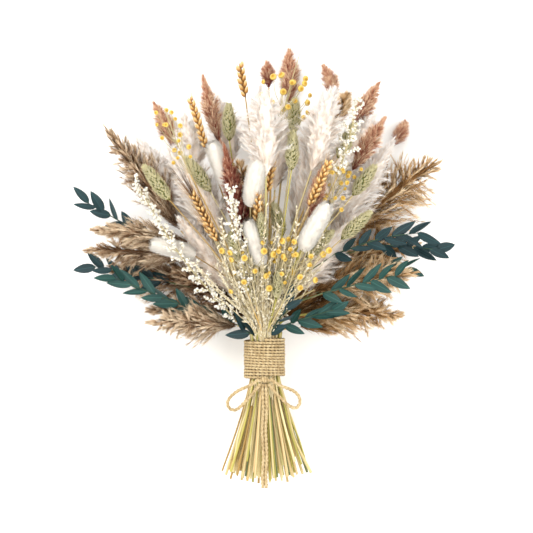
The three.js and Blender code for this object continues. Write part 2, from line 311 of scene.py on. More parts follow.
class Heap:
    """Copies of small forms, gathered into one mesh."""

    def __init__(self):
        self.points, self.faces, self.uvs, self.finishes, self.normals = [], [], [], [], []
        self.count = 0

    def add(self, points, shape, uv_at=(0, 0), uv_size=(1, 1), finish=0, normal=(0, 0, 0)):
        """points holds each copy's corners; uv_at and uv_size place its finish.

        A hair takes its normal from the fluff it belongs to; a zero normal is left alone.
        """
        copies, corners = points.shape[:2]
        first = self.count + corners * np.arange(copies)
        self.faces.append((shape.faces[None] + first[:, None, None]).reshape(-1, 3))
        uv_at = np.broadcast_to(np.asarray(uv_at, float), (copies, 2))
        uv_size = np.broadcast_to(np.asarray(uv_size, float), (copies, 2))
        uv = shape.uv[None] * uv_size[:, None, None] + uv_at[:, None, None]
        self.uvs.append(uv.reshape(-1, 2))
        self.finishes.append(np.full(copies * len(shape.faces), finish))
        self.points.append(points.reshape(-1, 3))
        normal = np.broadcast_to(np.asarray(normal, float), (copies, 3))
        self.normals.append(np.repeat(normal, corners, axis=0))
        self.count += copies * corners

    def strew(self, shape, root, along, facing, length, width, bend=None, **rest):
        """Copies of a shape from their roots, turned to face one way."""
        side = unit(np.cross(facing, along))
        front = np.cross(along, side)
        copies = (len(root), 1)
        x, y, z = shape.points.T
        x = x * np.broadcast_to(np.reshape(width, (-1, 1)), copies)
        y = y * np.broadcast_to(np.reshape(width, (-1, 1)), copies)
        reach = z * np.broadcast_to(np.reshape(length, (-1, 1)), copies)
        points = root[:, None] + along[:, None] * reach[..., None]
        points = points + side[:, None] * x[..., None] + front[:, None] * y[..., None]
        if bend is not None:
            points = points + bend[:, None] * (z**2)[None, :, None]
        self.add(points, shape, **rest)

    def sweep(self, shape, course, radius, lobed=(0, 0, 0), flat=1, reference=UP, **rest):
        """A pipe bent along a course; lobed is its lobes' count, twist and depth."""
        x, y, z = shape.points.T
        lobes, twist, depth = lobed
        side, rise = across(course.along(z), reference)
        angle = np.arctan2(y, x)
        lay = lobes * (angle - twist * z * course.length)
        reach = np.hypot(x, y) * radius(z) * (1 + depth * np.cos(lay))
        wide, high = reach * np.cos(angle), reach * np.sin(angle) * flat
        points = course.at(z) + side * wide[:, None] + rise * high[:, None]
        self.add(points[None], shape, **rest)

    def mesh(self, name, finishes):
        points = np.concatenate(self.points)
        points[:, 2] = np.maximum(points[:, 2], TABLE_GAP)
        faces, uvs = np.concatenate(self.faces), np.concatenate(self.uvs)
        mesh = bpy.data.meshes.new(name)
        mesh.vertices.add(len(points))
        mesh.vertices.foreach_set("co", points.ravel())
        mesh.loops.add(faces.size)
        mesh.loops.foreach_set("vertex_index", faces.ravel())
        mesh.polygons.add(len(faces))
        mesh.polygons.foreach_set("loop_start", np.arange(0, faces.size, 3))
        mesh.polygons.foreach_set("material_index", np.concatenate(self.finishes))
        mesh.polygons.foreach_set("use_smooth", np.ones(len(faces), bool))
        mesh.update(calc_edges=True)
        mesh.uv_layers.new(name=UV_NAME).data.foreach_set("uv", np.clip(uvs, 0, 1).ravel())
        normals = np.concatenate(self.normals)
        if normals.any():
            mesh.normals_split_custom_set_from_vertices(normals)
        for finish in finishes:
            mesh.materials.append(finish)
        return mesh


def place(name, heap, finishes, slot, nodes=()):
    """A finished piece, riding on the bunch."""
    piece = bpy.data.objects.new(name, heap.mesh(name, finishes))
    bpy.context.scene.collection.objects.link(piece)
    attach(piece, "root")
    if nodes:
        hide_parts(*nodes)
    return piece


def cells(count, kind):
    """A square of the finish for each of count copies, spread over all the kind's squares."""
    columns = COLUMNS[kind]
    index = np.arange(count) * columns**2 // count
    corners = np.stack([index % columns, index // columns], axis=1) / columns
    return {"uv_at": corners, "uv_size": (1 / columns, 1 / columns)}


def seeded(name):
    return np.random.default_rng(list(name.encode()))


# ---------------------------------------------------------------- finishes


class Value:
    """A socket in an expression: each operation adds its Math node."""

    def __init__(self, finish, socket):
        self.finish, self.socket = finish, socket

    def __add__(self, other):
        return self.finish.maths("ADD", self, other)

    def __sub__(self, other):
        return self.finish.maths("SUBTRACT", self, other)

    def __rsub__(self, other):
        return self.finish.maths("SUBTRACT", other, self)

    def __mul__(self, other):
        return self.finish.maths("MULTIPLY", self, other)

    def __pow__(self, other):
        return self.finish.maths("POWER", self, other)

    __radd__ = __add__
    __rmul__ = __mul__


class Finish:
    """A material, built up from expressions."""

    def __init__(self, name):
        self.material = bpy.data.materials.new(name)
        self.material.use_nodes = True
        self.tree = self.material.node_tree
        self.tree.nodes.clear()

    def node(self, kind, settings=None, inputs=None, output=0):
        """Adds a node, with its settings first and then its sockets' values or links."""
        made = self.tree.nodes.new(kind)
        for key, value in (settings or {}).items():
            setattr(made, key, value)
        for key, value in (inputs or {}).items():
            self.feed(made.inputs[key], value)
        return Value(self, made.outputs[output]) if made.outputs else None

    def feed(self, socket, value):
        if isinstance(value, Value):
            self.tree.links.new(value.socket, socket)
        else:
            socket.default_value = value

    def maths(self, operation, *terms):
        return self.node("ShaderNodeMath", {"operation": operation}, dict(enumerate(terms)))

    def object_place(self):
        return self.node("ShaderNodeTexCoord", output="Object")

    def surface_place(self):
        return self.node("ShaderNodeUVMap", {"uv_map": UV_NAME})

    def parts(self, vector):
        made = self.node("ShaderNodeSeparateXYZ", inputs={0: vector})
        return [Value(self, socket) for socket in made.socket.node.outputs]

    def noise(self, place, scale, detail=2.0):
        inputs = {"Vector": place, "Scale": scale, "Detail": detail}
        return self.node("ShaderNodeTexNoise", inputs=inputs)

    def stretched(self, place, scale):
        return self.node("ShaderNodeMapping", inputs={"Vector": place, "Scale": scale})

    def ramp(self, factor, stops):
        made = self.node("ShaderNodeValToRGB", inputs={"Fac": factor})
        elements = made.socket.node.color_ramp.elements
        for position, colour in stops[1:-1]:
            elements.new(position)
        for element, (position, colour) in zip(elements, stops):
            element.position, element.color = position, opaque(colour)
        return made

    def mix(self, factor, first, second, blend="MIX"):
        inputs = {0: factor, 6: self.tinted(first), 7: self.tinted(second)}
        return self.node(
            "ShaderNodeMix", {"data_type": "RGBA", "blend_type": blend}, inputs, output=2
        )

    def tinted(self, colour):
        return colour if isinstance(colour, Value) else opaque(colour)

    def bump(self, height, strength, distance):
        inputs = {"Height": height, "Strength": strength, "Distance": distance}
        return self.node("ShaderNodeBump", inputs=inputs)

    def done(self, colour, roughness, normal=None, specular=0.3):
        """Ends the material."""
        inputs = {"Base Color": self.tinted(colour), "Roughness": roughness}
        inputs["Specular IOR Level"] = specular
        if normal is not None:
            inputs["Normal"] = normal
        shader = self.node("ShaderNodeBsdfPrincipled", inputs=inputs)
        self.node("ShaderNodeOutputMaterial", inputs={"Surface": shader})
        return self.material


def opaque(colour):
    """A colour with its alpha, from its levels or from its six-figure code."""
    levels = hexed(colour) if isinstance(colour, str) else colour
    return (*tuple(levels)[:3], 1.0)


def hexed(code):
    """A linear colour from its usual six-figure code."""
    levels = [int(code[i : i + 2], 16) / 255 for i in (0, 2, 4)]
    return tuple(c / 12.92 if c <= 0.04045 else ((c + 0.055) / 1.055) ** 2.4 for c in levels)


def plume_finish(name, habit):
    """Hair colour changing along the head, paler at the tips, with painted shade that darkens the hairs
    deep inside the head.
    """
    finish = Finish(name)
    place = finish.surface_place()
    u, v, _ = finish.parts(place)
    inner = finish.mix(u, habit.foot, habit.crown)
    streak = finish.noise(finish.stretched(place, (46, 7, 1)), 1.0)
    shown = v + 0.3 * (streak - 0.5)
    depth = finish.ramp(shown, [(0.02, (0, 0, 0)), (0.38, (0.5, 0.5, 0.5)), (0.92, (1, 1, 1))])
    level = finish.parts(depth)[0]
    # Painted shade: hairs low on the depth ramp, deep inside the head, take the depths colour.
    dark = finish.mix(level * 2, habit.deep, inner)
    light = finish.mix(level * 2 - 1, dark, habit.tips)
    return finish.done(light, 0.9, specular=0.05)


def local_place(finish, columns):
    """Across and along one copy of a form, each from 0 to 1."""
    u, v, _ = finish.parts(finish.surface_place())
    return finish.maths("FRACT", u * columns), finish.maths("FRACT", v * columns)


def straw_tint(finish, colour, amount=0.35, scale=60.0):
    """A colour that wanders a little over the plant, as dried stuff does."""
    wander = finish.noise(finish.object_place(), scale)
    darker = finish.mix(amount, colour, (0.25, 0.17, 0.09), "MULTIPLY")
    return finish.mix(wander, darker, colour)


def glume_finish():
    finish = Finish("canary_scale")
    x, z = local_place(finish, COLUMNS["canary_grass"])
    aside = finish.maths("ABSOLUTE", x - 0.5)
    edge = finish.ramp(aside, [(0.04, "f1e7a2"), (0.2, "d6ce78"), (0.34, "fcf5ca")])
    colour = finish.mix((1.0 - z) * 0.7, "f8f2cf", edge)
    shaded = finish.ramp(z, [(0.0, (0.12, 0.13, 0.04)), (0.22, (0.6, 0.6, 0.34)), (0.4, (1, 1, 1))])
    colour = finish.mix(1.0, colour, shaded, "MULTIPLY")
    veins = finish.maths("SINE", x * 46)
    colour = straw_tint(finish, colour, 0.12)
    return finish.done(colour, 0.7, finish.bump(veins, 0.35, 0.3 * MM), specular=0.1)


def plain_finish(name, code, roughness, scale=400.0, strength=0.25, amount=0.35):
    """One colour that wanders a little, with a fine dry grain."""
    finish = Finish(name)
    grain = finish.noise(finish.object_place(), scale, 4.0)
    rough = roughness + 0.2 * (grain - 0.5)
    return finish.done(
        straw_tint(finish, code, amount), rough, finish.bump(grain, strength, 0.2 * MM)
    )


def grain_finish():
    finish = Finish("wheat_grain")
    x, z = local_place(finish, COLUMNS["wheat_ear"])
    colour = finish.ramp(z, [(0.0, "6e4a22"), (0.35, "c68f4a"), (0.8, "efcf92")])
    ribs = finish.maths("SINE", x * 56)
    return finish.done(straw_tint(finish, colour), 0.5, finish.bump(ribs, 0.3, 0.3 * MM))


def button_finish():
    finish = Finish("button_flower")
    x, y = local_place(finish, COLUMNS["button_spray"])
    from_middle = ((x - 0.5) ** 2 + (y - 0.5) ** 2) ** 0.5
    seeds = finish.noise(finish.object_place(), 2600.0, 1.0)
    reached = from_middle + 0.14 * (seeds - 0.5)
    tints = [(0.0, "9c7824"), (0.24, "c79c38"), (0.38, "dfc66c"), (0.5, "c09c42")]
    colour = finish.ramp(reached, tints)
    return finish.done(straw_tint(finish, colour), 0.7, finish.bump(seeds, 0.7, 0.5 * MM))


def statice_finish():
    finish = Finish("statice")
    x, z = local_place(finish, COLUMNS["statice_spray"])
    # Painted shade: each floret darkens towards its narrow base.
    colour = finish.ramp(z, [(0.0, "cdbf9f"), (0.4, "f1ebdb"), (0.9, "fffcf3")])
    folds = finish.maths("SINE", x * 38)
    return finish.done(colour, 0.7, finish.bump(folds, 0.4, 0.2 * MM))


def leaf_finish(name, dark, mid, pale):
    """A dyed, preserved leaf: a paler midrib, side veins and a soft sheen."""
    finish = Finish(name)
    x, z = local_place(finish, COLUMNS["leaf_sprig"])
    aside = finish.maths("ABSOLUTE", x - 0.5)
    wander = finish.noise(finish.object_place(), 38.0, 3.0)
    colour = finish.mix(wander, dark, mid)
    rib = finish.ramp(aside, [(0.0, (1, 1, 1)), (0.035, (0, 0, 0))])
    colour = finish.mix(finish.parts(rib)[0] * 0.6, colour, pale)
    veins = finish.maths("SINE", (z - aside * 0.7) * 80)
    rough = 0.42 + 0.18 * wander
    return finish.done(colour, rough, finish.bump(veins, 0.25, 0.3 * MM))


def stem_finish():
    """Straw stems, each of its own tint, with fine lengthwise grooves."""
    finish = Finish("dry_stem")
    place = finish.surface_place()
    which = finish.maths("FLOOR", finish.parts(place)[0] * STEM_PLACES)
    own = finish.node("ShaderNodeTexWhiteNoise", {"noise_dimensions": "1D"}, {"W": which + 0.5})
    tints = ("8d8c42", "c3bb62", "efe9cc", "cda85c", "e8dfae", "a8843f")
    colour = finish.ramp(own, [(0.2 * index, code) for index, code in enumerate(tints)])
    streak = finish.noise(finish.stretched(place, (260, 9, 1)), 1.0, 3.0)
    dark = finish.mix(0.55, colour, "8a6b35", "MULTIPLY")
    colour = finish.mix(streak, dark, colour)
    return finish.done(colour, 0.5 + 0.2 * streak, finish.bump(streak, 0.5, 0.25 * MM))


def jute_finish(name, crease):
    """Fibres laid along the twine, with painted shade on its sides where it lies against its neighbours.
    """
    finish = Finish(name)
    around = finish.parts(finish.surface_place())[0]
    fibre = finish.noise(finish.stretched(finish.object_place(), (700, 260, 700)), 1.0, 4.0)
    coarse = finish.noise(finish.object_place(), 90.0)
    stops = [(0.25, "6f5a38"), (0.5, "ab946c"), (0.8, "d2c39e")]
    colour = finish.ramp(0.75 * fibre + 0.3 * coarse, stops)
    # Painted shade in the creases: the twine's two sides, which face the next turns of the binding, are
    # darkened by as much as crease asks.
    crease_shade = finish.maths("SINE", around * (math.tau / TWINE_SHARE)) ** 2
    colour = finish.mix(crease_shade * crease_shade * crease, colour, "4f3d22", "MULTIPLY")
    return finish.done(colour, 0.85, finish.bump(fibre, 0.8, 0.35 * MM))


# ---------------------------------------------------------------- sizes and colours


def colour_of(name, description, code):
    return bpy.props.FloatVectorProperty(
        name=name, description=description, default=hexed(code), size=3, subtype="COLOR", min=0, max=1
    )


def length_of(name, description, millimetres):
    return bpy.props.FloatProperty(
        name=name, description=description, default=millimetres * MM, unit="LENGTH", min=0
    )


def count_of(name, description, count):
    return bpy.props.IntProperty(name=name, description=description, default=count, min=1)


def share_of(name, description, share):
    return bpy.props.FloatProperty(
        name=name, description=description, default=share, min=-1, max=3, subtype="FACTOR"
    )


def plume_habit(title, counts, hair, growth, colours):
    """The settings of one kind of plume: how it branches, its hairs and its colours."""
    branches, hairs = counts
    length, width = hair
    sweep, looseness, droop, fullness, body = growth
    deep, foot, crown, tips = colours
    settings = {
        "branches": count_of("Branches", "Side branches on a head", branches),
        "hairs": count_of("Hairs", "Hairs on a side branch", hairs),
        "hair_length": length_of("Hair length", "Length of a hair", length),
        "hair_width": length_of("Hair width", "Width of a hair at its root", width),
        "sweep": share_of("Sweep", "Length of a branch, as a share of the head's", sweep),
        "looseness": share_of("Looseness", "How far the hairs stray from their branch", looseness),
        "droop": share_of("Droop", "How far the branches sink, as a share of their reach", droop),
        "fullness": share_of("Fullness", "Reach of the branches, as a share of the head", fullness),
        "body": share_of("Body", "Thickness of the soft core, as a share of the head's", body),
        # Depths: painted shade deep inside the head, which darker plumes and tufts also lean towards.
        "deep": colour_of("Depths", "Colour deep inside the head", deep),
        "foot": colour_of("Foot", "Colour near the foot of the head", foot),
        "crown": colour_of("Crown", "Colour near the tip of the head", crown),
        "tips": colour_of("Hair tips", "Colour of the outermost hair tips", tips),
    }
    return type(title, (bpy.types.PropertyGroup,), {"__annotations__": settings})


# Colours of each kind: its depths (painted shade deep inside the head), foot, crown and hair tips.
BrownPlumeHabit = plume_habit(
    "BrownPlumeHabit", (192, 46), (8.5, 0.5), (0.26, 0.5, 0.1, 2.0, 0.16),
    ("452d1b", "83614a", "b08b68", "eed8b8"),
)
TanPlumeHabit = plume_habit(
    "TanPlumeHabit", (205, 45), (9.5, 0.5), (0.28, 0.5, 0.1, 2.3, 0.18),
    ("5a3a1f", "ab7c4a", "d0a26c", "f9e4c0"),
)
# The whites' beige foot is partly their own warmer colour and partly painted shade low on the head.
WhitePlumeHabit = plume_habit(
    "WhitePlumeHabit", (420, 17), (10, 0.55), (0.16, 0.5, 0, 1.6, 0.85),
    ("dcc2a8", "e6d3c0", "faf2ea", "fdf9f5"),
)
RustPlumeHabit = plume_habit(
    "RustPlumeHabit", (700, 14), (8, 0.42), (0.16, 0.52, 0, 1.08, 0.42),
    ("561f1e", "843f39", "d8916f", "f9dfb9"),
)


class SmallHeadHabit(bpy.types.PropertyGroup):
    """Sizes of the bunny tails, canary grass and wheat."""

    tail_hairs: count_of("Tail hairs", "Hairs on a bunny tail", 5000)
    tail_hair: length_of("Tail hair", "Length of a bunny tail's hairs", 3.6)
    glumes: count_of("Scales", "Scales on a head of canary grass", 210)
    glume: length_of("Scale", "Length of a canary grass scale", 5.4)
    grains: count_of("Grains", "Grains on an ear of wheat", 42)
    grain: length_of("Grain", "Length of a wheat grain", 7.2)
    awn: length_of("Awn", "Length of the bristle on a grain", 13)


class SprayHabit(bpy.types.PropertyGroup):
    """Sizes of the leaf sprigs, button flowers and statice."""

    leaf: length_of("Leaf", "Length of a leaf", 26)
    leaf_width: length_of("Leaf width", "Width of a leaf", 9.8)
    leaf_gap: length_of("Leaf gap", "Distance between leaves along a sprig", 9.2)
    button: length_of("Button", "Diameter of a button flower", 5.9)
    floret: length_of("Floret", "Length of a statice floret", 2.7)
    twig: length_of("Twig", "Diameter of a side twig", 0.7)


class StemHabit(bpy.types.PropertyGroup):
    """Sizes of the stems and the twine."""

    stem: length_of("Stem", "Diameter of a stem", 3.0)
    fine_stem: length_of("Fine stem", "Diameter of the stem of a small head", 2.1)
    twine: length_of("Twine", "Diameter of the jute twine", 3.1)
    turns: count_of("Turns", "Turns of twine in the binding", 13)
    strand_lay: length_of("Lay", "Length in which the twine's strands turn once", 13)


class BunchSettings(bpy.types.PropertyGroup):
    """Everything about the bunch that can be set."""

    brown_plume: bpy.props.PointerProperty(type=BrownPlumeHabit, name="Brown plumes")
    tan_plume: bpy.props.PointerProperty(type=TanPlumeHabit, name="Tan plumes")
    white_plume: bpy.props.PointerProperty(type=WhitePlumeHabit, name="White plumes")
    rust_plume: bpy.props.PointerProperty(type=RustPlumeHabit, name="Rust plumes")
    heads: bpy.props.PointerProperty(type=SmallHeadHabit, name="Small heads")
    sprays: bpy.props.PointerProperty(type=SprayHabit, name="Sprays")
    stems: bpy.props.PointerProperty(type=StemHabit, name="Stems and twine")


HABITS = (
    BrownPlumeHabit, TanPlumeHabit, WhitePlumeHabit, RustPlumeHabit,
    SmallHeadHabit, SprayHabit, StemHabit, BunchSettings,
)


def settings():
    return bpy.context.scene.bunch


# ---------------------------------------------------------------- how the plants lie

BELOW_TIE = 107 * MM  # from the binding to the longest cut end
FLARE = 3.45  # spread of the cut ends, as a ratio of their place in the tie
FLARE_AT_ONCE = 0.7
LOWEST_SLOPE, HIGHEST_SLOPE = -0.09, 0.58
TIE_LOW, TIE_HIGH = (np.array(corner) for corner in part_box("twine_binding"))
TIE = (TIE_LOW + TIE_HIGH) / 2
TIE_END = (TIE_HIGH[1] - TIE_LOW[1]) / 2
LAYER_PITCH = 4 * MM
TOP_LAYER = 7


def spread_at(down):
    """How far apart the stems are, as a ratio of the tie's spacing."""
    t = down / BELOW_TIE
    return 1 + (FLARE - 1) * (FLARE_AT_ONCE * t + (1 - FLARE_AT_ONCE) * t * t)


def heading(degrees):
    return np.array([math.sin(math.radians(degrees)), math.cos(math.radians(degrees)), 0.0])


def extra_plant(spot_x, layer, fan, reach, lean, length, width, nod=0.0, depth=0.6, cut=0.9):
    """A slim plant among the others: its stem and head, laid out as theirs are.

    spot_x is its place in the tie. The head's base is at an angle fan and a distance
    reach from the tie's upper edge, and it leans and nods by degrees. All in millimetres.
    """
    spot_x, reach, length, width = spot_x * MM, reach * MM, length * MM, width * MM
    spot_z = (layer - TOP_LAYER / 2) * LAYER_PITCH
    slope = LOWEST_SLOPE + (HIGHEST_SLOPE - LOWEST_SLOPE) * layer / TOP_LAYER
    mouth = TIE + [0, TIE_END, 0]

    def raised(point):
        away = math.hypot(*(point - mouth)[:2])
        return point + UP * (spot_z + slope * math.sqrt(max(away**2 - spot_x**2, 0)))

    base = mouth + heading(fan) * reach
    start = mouth + [spot_x, MM, 0]
    first, second = start + ALONG_BUNCH * reach / 3, base - heading(lean) * reach / 3
    stem = []
    for t in (1.0, 0.5):
        spread = spread_at(BELOW_TIE * cut * t)
        down = [spot_x * spread, -TIE_END - BELOW_TIE * cut * t, spot_z * spread]
        stem.append(TIE + down)
    stem.append(TIE + [spot_x, -TIE_END, spot_z])
    for t in (0, 0.25, 0.6, 1):
        s = 1 - t
        bezier = start * s**3 + first * 3 * s * s * t + second * 3 * s * t * t + base * t**3
        stem.append(raised(bezier))
    head = []
    for t in (0, 0.35, 0.7, 1):
        turned = heading(lean) * (1 - t / 2) + heading(lean + nod) * t / 2
        head.append(raised(base + turned * length * t))
    profile = np.array([0.35, 1, 0.75, 0.1]) * width / 2
    return Course(stem), Course(head, profile, profile * depth)


# Heads that stand between the main ones: kind, then extra_plant's values
EXTRAS = {
    "brown_wisp_left": ("brown_plume", (-9, 1.5, -42, 112, -85, 108, 22, -4, 0.5)),
    "brown_wisp_low": ("brown_plume", (-10, 3.2, -66, 30, -84, 92, 20, -8, 0.5)),
    "tan_wisp_right": ("tan_plume", (10, 2.4, 62, 52, 86, 96, 24, 10, 0.5)),
    "tan_tuft": ("tan_plume", (5, 2.6, 18.6, 226, 16, 34, 9, 6, 0.7)),
    "terracotta_plume": ("rust_plume", (3, 5.2, 22, 122, 10, 58, 13, 2, 0.8)),
    "brown_wisp_inner": ("brown_plume", (-7, 0.9, -44, 26, -52, 96, 25, -6, 0.6)),
    "tan_wisp_inner": ("tan_plume", (7, 0.9, 46, 26, 56, 92, 25, 4, 0.6)),
    "white_wisp_inner_left": ("white_plume", (-5, 3.0, -31, 50, -36, 100, 27, -3, 0.7)),
    "white_wisp_inner_right": ("white_plume", (5, 3.0, 33, 54, 37, 98, 27, 3, 0.7)),
    "white_wisp_left": ("white_plume", (-6, 1.4, -30, 150, -40, 84, 24, -4, 0.6)),
    "white_wisp_right": ("white_plume", (5, 1.4, 24, 170, 30, 84, 24, 4, 0.6)),
    "white_wisp_middle": ("white_plume", (1, 1.2, 4, 150, 5, 96, 26, 0, 0.6)),
    "white_wisp_high_left": ("white_plume", (-3, 4.4, -22, 112, -26, 92, 26, 0, 0.7)),
    "white_wisp_high_right": ("white_plume", (4, 3.6, 21, 118, 24, 96, 28, 0, 0.7)),
    "white_wisp_front": ("white_plume", (0, 6.0, 0.5, 160, 0, 84, 26, 0, 0.6)),
    "white_wisp_top_right": ("white_plume", (3, 5.0, 15.5, 172, 14, 84, 26, 3, 0.6)),
    "burgundy_plume": ("rust_plume", (-2, 5.7, -10.6, 95, -13.6, 100, 17, 2, 0.8)),
    "peach_plume": ("tan_plume", (0, 5.2, -3.6, 104, -15, 76, 17, 0, 0.7)),
    "golden_ear": ("wheat_ear", (-5, 6.4, -25.3, 107, -27, 58, 12, -2, 0.9)),
    "orange_ear": ("wheat_ear", (-1, 6.5, -4, 104, 1, 42, 11, 2, 0.9)),
    "small_canary_low": ("canary_grass", (3, 7.3, 16, 42, 6, 26, 12, 0, 1.0)),
    "small_canary_left": ("canary_grass", (-3, 6.9, -18, 80, -17, 30, 12, 2, 1.0)),
    "small_canary_middle": ("canary_grass", (0, 7.0, -1, 92, -4, 31, 12, 0, 1.0)),
    "statice_middle": ("statice_spray", (-3, 7.2, -20, 50, -10, 100, 22, 2, 1.0)),
    "leaf_sprig_far_left": ("leaf_sprig", (-8, 0.5, -60, 112, -76, 98, 26, -6, 1.0)),
    "leaf_sprig_far_right": ("leaf_sprig", (8, 1.2, 52, 152, 92, 76, 26, 8, 1.0)),
    "leaf_sprig_mid_right": ("leaf_sprig", (8, 5.0, 52, 74, 75, 92, 26, 3, 1.0)),
    "leaf_sprig_low_right": ("leaf_sprig", (7, 4.6, 57, 24, 70, 70, 26, 6, 1.0)),
    "leaf_sprig_low_left": ("leaf_sprig", (-6, 6.0, -70, 10, -72, 30, 22, -4, 1.0)),
    "leaf_sprig_base": ("leaf_sprig", (4, 6.8, 50, 8, 30, 54, 22, 4, 1.0)),
    "button_spray_left_low": ("button_spray", (-3, 7.4, -14, 34, -8, 68, 44, 0, 1.0)),
    "button_spray_right_low": ("button_spray", (3, 7.4, 27, 40, 20, 66, 42, 0, 1.0)),
    "button_spray_far_right": ("button_spray", (6, 5.0, 29, 130, 8, 60, 24, 0, 1.0)),
}


# ---------------------------------------------------------------- plumes


def hairs_along(heap, rng, head, branch, habit):
    """Hairs from places along each branch: its start, middle, end, share of the head, tints."""
    start, middle, stop, head_share, age, tone = branch
    count = len(start)
    places = rng.uniform(0.35 * habit.body, 1, count)
    s = places[:, None]
    root = start * (1 - s) ** 2 + middle * 2 * s * (1 - s) + stop * s**2
    root = root + scattered(rng, count) * 0.5 * MM
    along = unit((middle - start) * (1 - s) + (stop - middle) * s)
    fine = 1 - 0.6 * head_share**4
    stray = scattered(rng, count) * (habit.looseness * fine * rng.uniform(0.3, 1.3, count))[:, None]
    size = habit.hair_length * rng.uniform(0.5, 1.25, count) * (1.1 - 0.35 * places) * (0.4 + 0.6 * fine)
    u = 0.02 + 0.94 * np.clip(age + rng.normal(0, 0.03, count), 0, 1)
    # Painted shade: hairs rooted nearer the head's axis sit lower on the depth ramp and come out darker;
    # each plume's and tuft's tone shifts them too.
    v = np.clip(0.06 + places * 0.6 + rng.normal(0, 0.15, count), 0.01, 0.86) ** tone
    outward = unit(root + along * 3 * MM - head.at(head_share)) + 0.5 * UP
    heap.strew(
        HAIR, root, unit(along + stray), scattered(rng, count), size, habit.hair_width,
        uv_at=np.stack([u, v], axis=1), uv_size=(0.006, 0.13),
        normal=unit(outward + 0.5 * scattered(rng, count)),
    )


def grow_plume(heap, name, head, habit):
    """Branches swept towards the tip from a soft core, each clothed in fine hairs."""
    rng = seeded(name)
    branches = max(int(habit.branches * head.length / (100 * MM)), 30)
    last = 1 - 0.4 * habit.hair_length / head.length
    t = last * ((np.arange(branches) + rng.uniform(0, 1, branches)) / branches) ** 1.2
    turn = np.arange(branches) * GOLDEN_TURN + rng.normal(0, 0.5, branches)
    sweep = habit.sweep * (1 - 0.45 * t) * rng.uniform(0.6, 1.3, branches)
    end_t = np.minimum(t + sweep, last * (1 - 0.5 * rng.uniform(0, 1, branches) ** 1.5))
    t = np.minimum(t, end_t - 0.02)
    start, axis = head.at(t), head.along(t)
    side, rise = across(axis)
    wide, high = head.reach(0.35 * t + 0.65 * end_t)
    wide, high = np.maximum(wide, 1.2 * MM), np.maximum(high, MM)
    reach = habit.fullness * rng.choice([0.6, 0.85, 1.05, 1.3], branches)
    reach = reach * rng.uniform(0.85, 1.15, branches) * (1 - 0.75 * (end_t / last) ** 3)
    reach = reach * np.interp(t, [0, 0.25], [0.5, 1])
    out = side * (np.cos(turn) * wide * reach)[:, None] + rise * (np.sin(turn) * high * reach)[:, None]
    ahead = axis * (np.maximum(end_t - t, 0.05) * head.length)[:, None]
    sink = UP * (habit.droop * np.hypot(wide, high) * reach)[:, None]
    middle = start + ahead * 0.42 + out * 0.62
    stop = start + ahead + out - sink
    tone = TONES.get(name, 1) * rng.choice([0.6, 0.9, 1.2, 1.8], branches)
    age = end_t ** TONES.get(name, 1)
    which = np.repeat(np.arange(branches), habit.hairs)
    branch = [part[which] for part in (start, middle, stop, end_t, age, tone)]
    hairs_along(heap, rng, head, branch, habit)

    def core_radius(t):
        foot = 1 - 0.95 * np.exp(-t / 0.07)
        return head.reach(t / last)[0] * habit.body * foot

    # The core's place on the depth ramp follows its thickness, so a slim core deep in the head takes the
    # painted shade of the depths.
    heap.sweep(
        pipe_shape(12, 26), head, core_radius, flat=0.7, lobed=(5, 24, 0.1),
        uv_at=(0.01, 0.5 * habit.body), uv_size=(0.97, 0.05),
    )


# How much darker than the others of its kind a plume is
TONES = {
    "rust_plume_7": 1.9, "rust_plume_8": 1.4, "terracotta_plume": 1.3, "burgundy_plume": 2.6,
    "tan_plume_3": 1.3, "brown_plume_1": 1.2, "brown_wisp_low": 0.6, "brown_plume_4": 0.7,
    "brown_wisp_inner": 1.7, "tan_wisp_inner": 1.8,
    "white_wisp_inner_left": 1.5, "white_wisp_inner_right": 1.3,
}


# ---------------------------------------------------------------- small heads


PLAIN_CORE = {"uv_size": (0.02, 0.02)}  # a speck of the finish, for what hardly shows


def around_head(head, t, turn, share):
    """Points on an egg-shaped head and the direction straight out of it at each."""
    axis = head.along(t)
    side, rise = across(axis)
    wide, _ = head.reach(t)
    out = side * np.cos(turn)[:, None] + rise * np.sin(turn)[:, None]
    return head.at(t) + out * (wide * share)[:, None], axis, out


def egg(t):
    """An egg's girth along it, as a share of its greatest."""
    return np.sqrt(np.clip(1 - np.abs(2 * t - 0.96) ** 3.6, 0.01, 1))


def grow_bunny_tail(heap, name, head):
    """A velvety egg of short hairs, with a longer fringe at its tip."""
    rng, habit = seeded(name), settings().heads
    count = habit.tail_hairs
    t = rng.uniform(0, 1, count) * 0.975
    turn = rng.uniform(0, math.tau, count)
    plump = max(head.wide)
    root, axis, out = around_head(head, t, turn, 0)
    root = root + out * (plump * 0.8 * egg(t))[:, None]
    lift = np.interp(t, [0, 0.5, 1], [1.5, 1.2, 0.5])[:, None] * rng.uniform(0.6, 1.4, (count, 1))
    along = unit(axis + out * lift + scattered(rng, count) * 0.3)
    size = habit.tail_hair * rng.uniform(0.7, 1.35, count) * np.interp(t, [0, 0.75, 1], [1, 1, 1.4])
    v = np.clip(rng.normal(0.5, 0.14, count), 0.02, 0.78)
    u = np.clip(t + rng.normal(0, 0.02, count), 0.01, 0.98)
    heap.strew(
        HAIR, root, along, scattered(rng, count), size, 0.42 * MM,
        uv_at=np.stack([u, v], axis=1), uv_size=(0.006, 0.2),
        normal=unit(out + 0.3 * scattered(rng, count)),
    )
    heap.sweep(
        pipe_shape(12, 24), head, lambda t: plump * 0.84 * egg(t * 0.97),
        uv_at=(0.01, 0.4), uv_size=(0.97, 0.1),
    )


